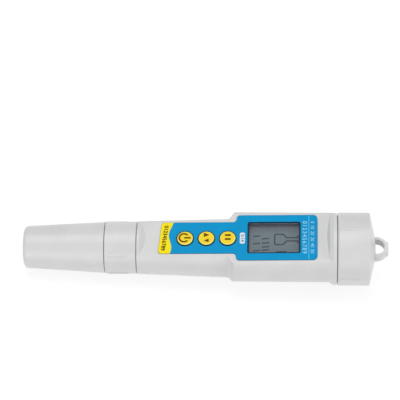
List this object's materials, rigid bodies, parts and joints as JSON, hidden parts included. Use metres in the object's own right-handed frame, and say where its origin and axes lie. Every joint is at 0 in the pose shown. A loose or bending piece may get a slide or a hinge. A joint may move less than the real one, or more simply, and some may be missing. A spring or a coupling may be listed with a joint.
{
  "type": "water quality test pen",
  "caption": "Pen-shaped water tester with pull-off sensor cap, screw-held probe, keys and display on a flat label, and a screw-on battery cap with a lanyard eye.",
  "frame": {"origin": "centre of the sensor cap's flat end face, on the pen's axis", "axes": "+X along the pen from the sensor cap to the lanyard eye, +Y to the back as the label is read from the front, +Z out of the label side"},
  "size_m": [0.1887, 0.0384, 0.0384],
  "materials": {
    "shell": "pale grey moulded plastic, satin",
    "label_film": "printed blue and yellow film, satin",
    "display_lens": "clear window, polished",
    "display_glass": "grey display glass",
    "dark_moulding": "black moulded plastic",
    "probe_moulding": "dark moulded plastic",
    "electrode_steel": "polished steel",
    "seal_rubber": "black seal rubber",
    "mat_rubber": "dark silicone rubber",
    "key_rubber": "yellow keys, satin",
    "circuit_board": "green board with lacquer",
    "contact_metal": "gold-plated contacts",
    "can_metal": "bright metal",
    "cell_steel": "plated steel cans",
    "carrier_moulding": "white moulded plastic",
    "trimmer_case": "blue moulded plastic",
    "trimmer_rotor": "brass screw"
  },
  "bodies": {
    "housing": {"housing": "shell", "label": "label_film", "display_lens": "display_lens", "lcd_panel": "display_glass", "display_frame": "dark_moulding", "bay_frame": "dark_moulding", "probe_socket": "dark_moulding", "controller_chip": "dark_moulding", "zebra_strip_front": "seal_rubber", "zebra_strip_back": "seal_rubber", "keypad_mat": "mat_rubber", "main_board": "circuit_board", "spring_contact": "contact_metal", "plate_contact": "contact_metal", "crystal": "can_metal", "switch_power": "can_metal", "switch_mode": "can_metal", "switch_hold": "can_metal", "bay_screws": "can_metal", "cell_1": "cell_steel", "cell_2": "cell_steel", "cell_3": "cell_steel", "cell_4": "cell_steel", "battery_carrier": "carrier_moulding", "trimmer_body": "trimmer_case"},
    "probe": {"probe_body": "probe_moulding", "electrode_front": "electrode_steel", "electrode_back": "electrode_steel", "thermistor_tube": "electrode_steel", "probe_seal": "seal_rubber", "nose_seal": "seal_rubber", "probe_plug": "contact_metal"},
    "collar": {"collar_ring": "shell"},
    "sensor_cap": {"sensor_cap": "shell"},
    "battery_seal": {"cap_seal": "seal_rubber"},
    "battery_cap": {"battery_cap": "shell"},
    "button_power": {"button_power": "key_rubber"},
    "button_mode": {"button_mode": "key_rubber"},
    "button_hold": {"button_hold": "key_rubber"},
    "trimmer_screw": {"trimmer_screw": "trimmer_rotor"}
  },
  "joints": [
    {"name": "probe_travel", "type": "slide", "parent": "housing", "child": "probe", "axis": [-1, 0, 0], "range_m": [0, 0.011]},
    {"name": "collar_turn", "type": "hinge", "parent": "probe", "child": "collar", "pos_m": [0.0505, 0, 0], "axis": [-1, 0, 0], "range_deg": [0, 1440]},
    {"name": "sensor_cap_pull", "type": "slide", "parent": "probe", "child": "sensor_cap", "axis": [-1, 0, 0], "range_m": [0, 0.038]},
    {"name": "battery_cap_travel", "type": "slide", "parent": "housing", "child": "battery_seal", "axis": [1, 0, 0], "range_m": [0, 0.012]},
    {"name": "battery_cap_turn", "type": "hinge", "parent": "battery_seal", "child": "battery_cap", "pos_m": [0.171, 0, 0], "axis": [1, 0, 0], "range_deg": [0, 1440]},
    {"name": "power_press", "type": "slide", "parent": "housing", "child": "button_power", "axis": [0.0234, 0, -0.9997], "range_m": [0, 0.0007], "stiffness_N_per_m": 1500},
    {"name": "mode_press", "type": "slide", "parent": "housing", "child": "button_mode", "axis": [0.0234, 0, -0.9997], "range_m": [0, 0.0007], "stiffness_N_per_m": 1500},
    {"name": "hold_press", "type": "slide", "parent": "housing", "child": "button_hold", "axis": [0.0234, 0, -0.9997], "range_m": [0, 0.0007], "stiffness_N_per_m": 1500},
    {"name": "trimmer_turn", "type": "hinge", "parent": "housing", "child": "trimmer_screw", "pos_m": [0.15507, 0, 0.00711], "axis": [0.9997, 0, 0.0234], "range_deg": [-135, 135]}
  ],
  "couplings": [
    {"joint": "collar_turn", "follows": "probe_travel", "rad_per_m": 2284.8},
    {"joint": "battery_cap_turn", "follows": "battery_cap_travel", "rad_per_m": 2094.4}
  ]
}
